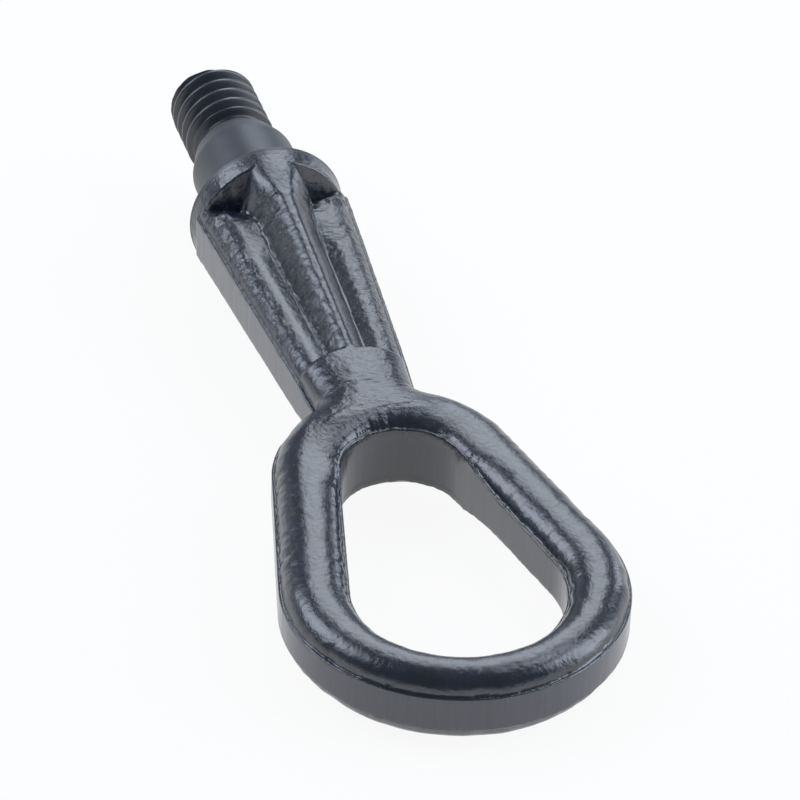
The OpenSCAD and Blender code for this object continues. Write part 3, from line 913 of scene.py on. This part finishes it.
def coat(name, finish, peel_size, peel_height, turned, forging):
    """Dip coat on steel: a thin blue-black paint film that follows every mark of the metal below.

    Noise at the size of orange peel breaks up the highlights on forged skin and is faint on turned
    steel, where the film is duller. Slow blotches vary the colour where the film runs thin. On the
    forging, chips break up the wrinkled zones, and upright shear marks show on the trimmed flats,
    whose lighter colour is partly their own tone and partly a painted reflection of the floor.
    The IOR is above a paint's 1.5, and gives the highlights the photograph's strength.
    """
    material, tree = new_material(name)
    place = node(tree, "TexCoord").outputs["Object"]
    peel = new_noise(tree, place, peel_size, 4.0, 0.62)
    blotch = new_noise(tree, place, BLOTCH, 5.0, 0.65)
    thin = node(tree, "MapRange", Value=blotch, From_Min=0.42, From_Max=0.72)
    colour_out = two_colours(tree, thin.outputs[0], finish.coat, finish.coat_worn)
    forged = zone_value(tree, "forged")
    depth = node(tree, "MapRange", Value=forged, To_Min=TURNED_SHARE, To_Max=1.0)
    height = node(tree, "Math", {"operation": "MULTIPLY"}, i0=peel, i1=depth.outputs[0]).outputs[0]
    dull = node(tree, "MapRange", Value=forged, To_Min=turned, To_Max=finish.gloss)
    if forging:
        colour_out, height = forging_marks(tree, place, finish, colour_out, height)
    bump_map = node(tree, "Bump", Height=height, Strength=1.0, Distance=peel_height * MM)
    shader = node(
        tree, "BsdfPrincipled", Base_Color=colour_out, Roughness=dull.outputs[0], IOR=1.8,
        Normal=bump_map.outputs["Normal"])
    node(tree, "OutputMaterial", Surface=shader.outputs["BSDF"])
    return material


def forging_marks(tree, place, finish, film, peel):
    """Adds the shear marks of the trimmed flats and the chips of the wrinkled zones to the coat."""
    trimmed, wrinkled = zone_value(tree, "trimmed"), zone_value(tree, "wrinkled")
    stretch = node(tree, "Mapping", Vector=place, Scale=(1, 1, 0.06))
    marks = new_noise(tree, stretch.outputs[0], SHEAR, 4.0, 0.6)
    shallow = node(tree, "MapRange", Value=marks, To_Max=SHEAR_SHARE)
    pick = node(tree, "Mix", {"data_type": "FLOAT"}, i0=trimmed, i2=peel, i3=shallow.outputs[0])
    slope = node(tree, "Mapping", Vector=place, Rotation=(0, 0, 0.6), Scale=(1, 0.45, 0.7))
    chips = new_noise(tree, slope.outputs[0], CHIPS, 3.0, 0.6)
    fold = node(tree, "Math", {"operation": "MULTIPLY"}, i0=chips, i1=wrinkled)
    deep = node(
        tree, "Math", {"operation": "MULTIPLY_ADD"}, i0=fold.outputs[0], i1=CHIP_SHARE, i2=pick.outputs[0])
    # Painted reflection: these shear-mark colours are lighter than the coat partly to stand in for the
    # floor's grazing reflection
    shear_marks_and_painted_sheen = two_colours(tree, marks, finish.trimmed_dark, finish.trimmed)
    whole = node(tree, "Mix", {"data_type": "RGBA"}, i0=trimmed, i6=film, i7=shear_marks_and_painted_sheen)
    return whole.outputs[2], deep.outputs[0]


# Operators

class TOWEYE_OT_forging(bpy.types.Operator):
    """Builds the forged shank and ring as one closed skin"""

    bl_idname = "toweye.forging"
    bl_label = "Shank and ring"

    def execute(self, context):
        stud, shank, ring, finish = (sizes(getattr(context.scene, key)) for key in GROUPS)
        material = coat(
            "dip coat on forged steel", finish, PEEL, FORGED_PEEL_HEIGHT, finish.gloss + 0.02, True)
        points, faces, grain, on_ring = forging_mesh(stud, shank, ring)
        points, zones = forged_marks(points, faces, grain, on_ring, stud, shank, ring)
        make_piece("forging", points, faces, material, zones)
        return {"FINISHED"}


class TOWEYE_OT_head(bpy.types.Operator):
    """Builds the relief groove, guide collar and head disc as one turned solid"""

    bl_idname = "toweye.head"
    bl_label = "Collar and head disc"

    def execute(self, context):
        finish = sizes(context.scene.tow_eye_finish)
        material = coat(
            "dip coat on turned steel", finish, PEEL, TURNED_PEEL_HEIGHT, TURNED_ROUGHNESS, False)
        points, faces, zones = head_mesh(sizes(context.scene.tow_eye_stud))
        make_piece("collar_and_head", points, faces, material, zones)
        return {"FINISHED"}


class TOWEYE_OT_stud(bpy.types.Operator):
    """Builds the threaded stud"""

    bl_idname = "toweye.stud"
    bl_label = "Threaded stud"

    def execute(self, context):
        finish = sizes(context.scene.tow_eye_finish)
        material = coat(
            "dip coat on rolled thread", finish, THREAD_PEEL, THREAD_PEEL_HEIGHT, THREAD_ROUGHNESS, False)
        points, faces = thread_mesh(sizes(context.scene.tow_eye_stud))
        make_piece("threaded_stud", points, faces, material)
        return {"FINISHED"}


class TOWEYE_OT_stage(bpy.types.Operator):
    """Sets the floor, the studio's lights and the camera"""

    bl_idname = "toweye.stage"
    bl_label = "Studio"

    def execute(self, context):
        scene = context.scene
        floor_plane(sizes(scene.tow_eye_stud), sizes(scene.tow_eye_ring), sizes(scene.tow_eye_finish))
        studio_light()
        studio_camera(scene)
        scene.view_settings.view_transform = "Standard"
        return {"FINISHED"}


# Half the floor's side in metres, and how far it lies below the eye
FLOOR_HALF = 6.0
FLOOR_GAP = 0.05 * MM
# The floor's share of plain white for the camera and for reflections; the rest keeps the shadow
FLOOR_WHITE = 0.92
WHITE = (1, 1, 1, 1)


def floor_plane(stud, ring, finish):
    """A pale floor that touches what the eye rests on: the disc's front edge and the ring's far crown."""
    disc = Vector((stud.head_chamfer, 0, -stud.head_d / 2)) * MM
    far = Vector((lerp(ring.hole_x + ring.hole_r, ring.x + ring.r, ring.crown), 0, -ring.h)) * MM
    along = (far - disc).normalized()
    up = Vector((-along.z, 0, along.x))
    middle = (disc + far) / 2 - up * FLOOR_GAP
    corners = [
        middle + along * (a * FLOOR_HALF) + Vector((0, b * FLOOR_HALF, 0))
        for a, b in ((-1, -1), (1, -1), (1, 1), (-1, 1))]
    mesh = bpy.data.meshes.new("studio_floor")
    mesh.from_pydata([tuple(c) for c in corners], [], [(0, 1, 2, 3)])
    floor = bpy.data.objects.new("studio_floor", mesh)
    bpy.context.scene.collection.objects.link(floor)
    material, tree = new_material("pale studio floor")
    paper = node(tree, "BsdfPrincipled", Base_Color=(*finish.floor, 1), Roughness=0.9)
    glow = node(tree, "Emission", Color=WHITE, Strength=1.0)
    rays = node(tree, "LightPath").outputs
    seen = rays["Is Camera Ray"]
    for ray in ("Is Glossy Ray", "Is Transmission Ray"):
        seen = node(tree, "Math", {"operation": "MAXIMUM"}, i0=seen, i1=rays[ray]).outputs[0]
    part = node(tree, "Math", {"operation": "MULTIPLY"}, i0=seen, i1=FLOOR_WHITE)
    mixed = node(tree, "MixShader", i0=part.outputs[0], i1=paper.outputs[0], i2=glow.outputs[0])
    node(tree, "OutputMaterial", Surface=mixed.outputs[0])
    mesh.materials.append(material)


# Soft boxes: name, azimuth, elevation, width, height and radiance, in degrees and metres
SOFT_BOXES = (
    ("left_box", 234, 42, 0.70, 0.60, 4.0),
    ("right_box", 74, 26, 0.58, 0.95, 4.0),
    ("right_strip", 110, 63, 0.42, 0.21, 4.2),
    ("right_low", 124, 15, 0.14, 0.36, 4.6))
BACK_BOX = ("back_box", 158, 38, 0.44, 0.66, 2.9)
SIDE_TINT = (0.78, 0.86, 1.0)
BACK_TINT = (0.83, 0.91, 1.0)
ROOM_TINT = (0.82, 0.89, 1, 1)


def area_light(name, azimuth, elevation, width, height, radiance, tint):
    """A soft box one metre away, in degrees from +X and above the floor, facing the eye's middle."""
    aim = Vector((0.06, 0, 0))
    a, e = math.radians(azimuth), math.radians(elevation)
    towards = Vector((math.cos(e) * math.cos(a), math.cos(e) * math.sin(a), math.sin(e)))
    data = bpy.data.lights.new(name, "AREA")
    data.shape = "RECTANGLE"
    data.size, data.size_y = width, height
    data.energy = radiance * math.pi * width * height
    data.color = tint
    light = bpy.data.objects.new(name, data)
    light.location = aim + towards
    light.rotation_euler = (-towards).to_track_quat("-Z", "Y").to_euler()
    light.visible_camera = False
    bpy.context.scene.collection.objects.link(light)


def studio_light():
    """Soft boxes behind the eye and on both sides, in a room that is palest at the floor's horizon."""
    area_light(*BACK_BOX, BACK_TINT)
    for box in SOFT_BOXES:
        area_light(*box, SIDE_TINT)
    world = bpy.data.worlds.new("studio")
    bpy.context.scene.world = world
    world.use_nodes = True
    tree = world.node_tree
    tree.nodes.clear()
    direction = node(tree, "TexCoord").outputs["Generated"]
    parts = node(tree, "SeparateXYZ", Vector=direction).outputs
    levels = []
    for axis, start, end, low, high in (("X", -0.8, 0.5, 0.24, 0.15), ("Z", 0.0, 0.25, 1.0, 0.0)):
        made = node(
            tree, "MapRange", {"interpolation_type": "SMOOTHSTEP"}, Value=parts[axis],
            From_Min=start, From_Max=end, To_Min=low, To_Max=high)
        levels.append(made.outputs[0])
    room, horizon = levels
    level = node(tree, "Mix", {"data_type": "FLOAT"}, i0=horizon, i2=room, i3=1.0)
    sky = node(tree, "Background", Color=ROOM_TINT, Strength=level.outputs[0])
    plain = node(tree, "Background", Color=WHITE, Strength=1.0)
    camera_ray = node(tree, "LightPath").outputs["Is Camera Ray"]
    mixed = node(tree, "MixShader", i0=camera_ray, i1=sky.outputs[0], i2=plain.outputs[0])
    node(tree, "OutputWorld", Surface=mixed.outputs[0])


def studio_camera(scene):
    """The photograph's viewpoint: place, aim, roll and focal length, solved from the eye's outlines."""
    place = Vector((645.425, -184.365, 456.906)) * MM
    aim = Vector((59.565, 7.055, 0.0)) * MM
    roll = math.radians(2.221)
    focal_px = 4559.7
    frame_px = 800
    data = bpy.data.cameras.new("camera")
    data.sensor_width = 36
    data.lens = data.sensor_width * focal_px / frame_px
    data.clip_start, data.clip_end = 0.01, 100
    camera = bpy.data.objects.new("camera", data)
    camera.location = place
    turn = (aim - place).to_track_quat("-Z", "Y").to_matrix()
    camera.rotation_euler = (turn @ Matrix.Rotation(roll, 3, "Z")).to_euler()
    scene.collection.objects.link(camera)
    scene.camera = camera


class TOWEYE_PT_panel(bpy.types.Panel):
    """Lists the pieces of the tow eye"""

    bl_idname = "TOWEYE_PT_panel"
    bl_label = "Tow Eye"
    bl_space_type = "VIEW_3D"
    bl_region_type = "UI"
    bl_category = "Tow Eye"

    def draw(self, context):
        for operator in OPERATORS:
            self.layout.operator(operator.bl_idname)
        for key in GROUPS:
            group = getattr(context.scene, key)
            box = self.layout.box()
            for name in group.__annotations__:
                box.prop(group, name)


OPERATORS = (TOWEYE_OT_stud, TOWEYE_OT_head, TOWEYE_OT_forging, TOWEYE_OT_stage)
CLASSES = (*GROUPS.values(), *OPERATORS, TOWEYE_PT_panel)


def register():
    for cls in CLASSES:
        bpy.utils.register_class(cls)
    for key, cls in GROUPS.items():
        setattr(bpy.types.Scene, key, bpy.props.PointerProperty(type=cls))


def unregister():
    for key in GROUPS:
        delattr(bpy.types.Scene, key)
    for cls in reversed(CLASSES):
        bpy.utils.unregister_class(cls)


def main():
    register()
    bpy.ops.toweye.stud()
    bpy.ops.toweye.head()
    bpy.ops.toweye.forging()
    bpy.ops.toweye.stage()


if __name__ == "__main__":
    main()
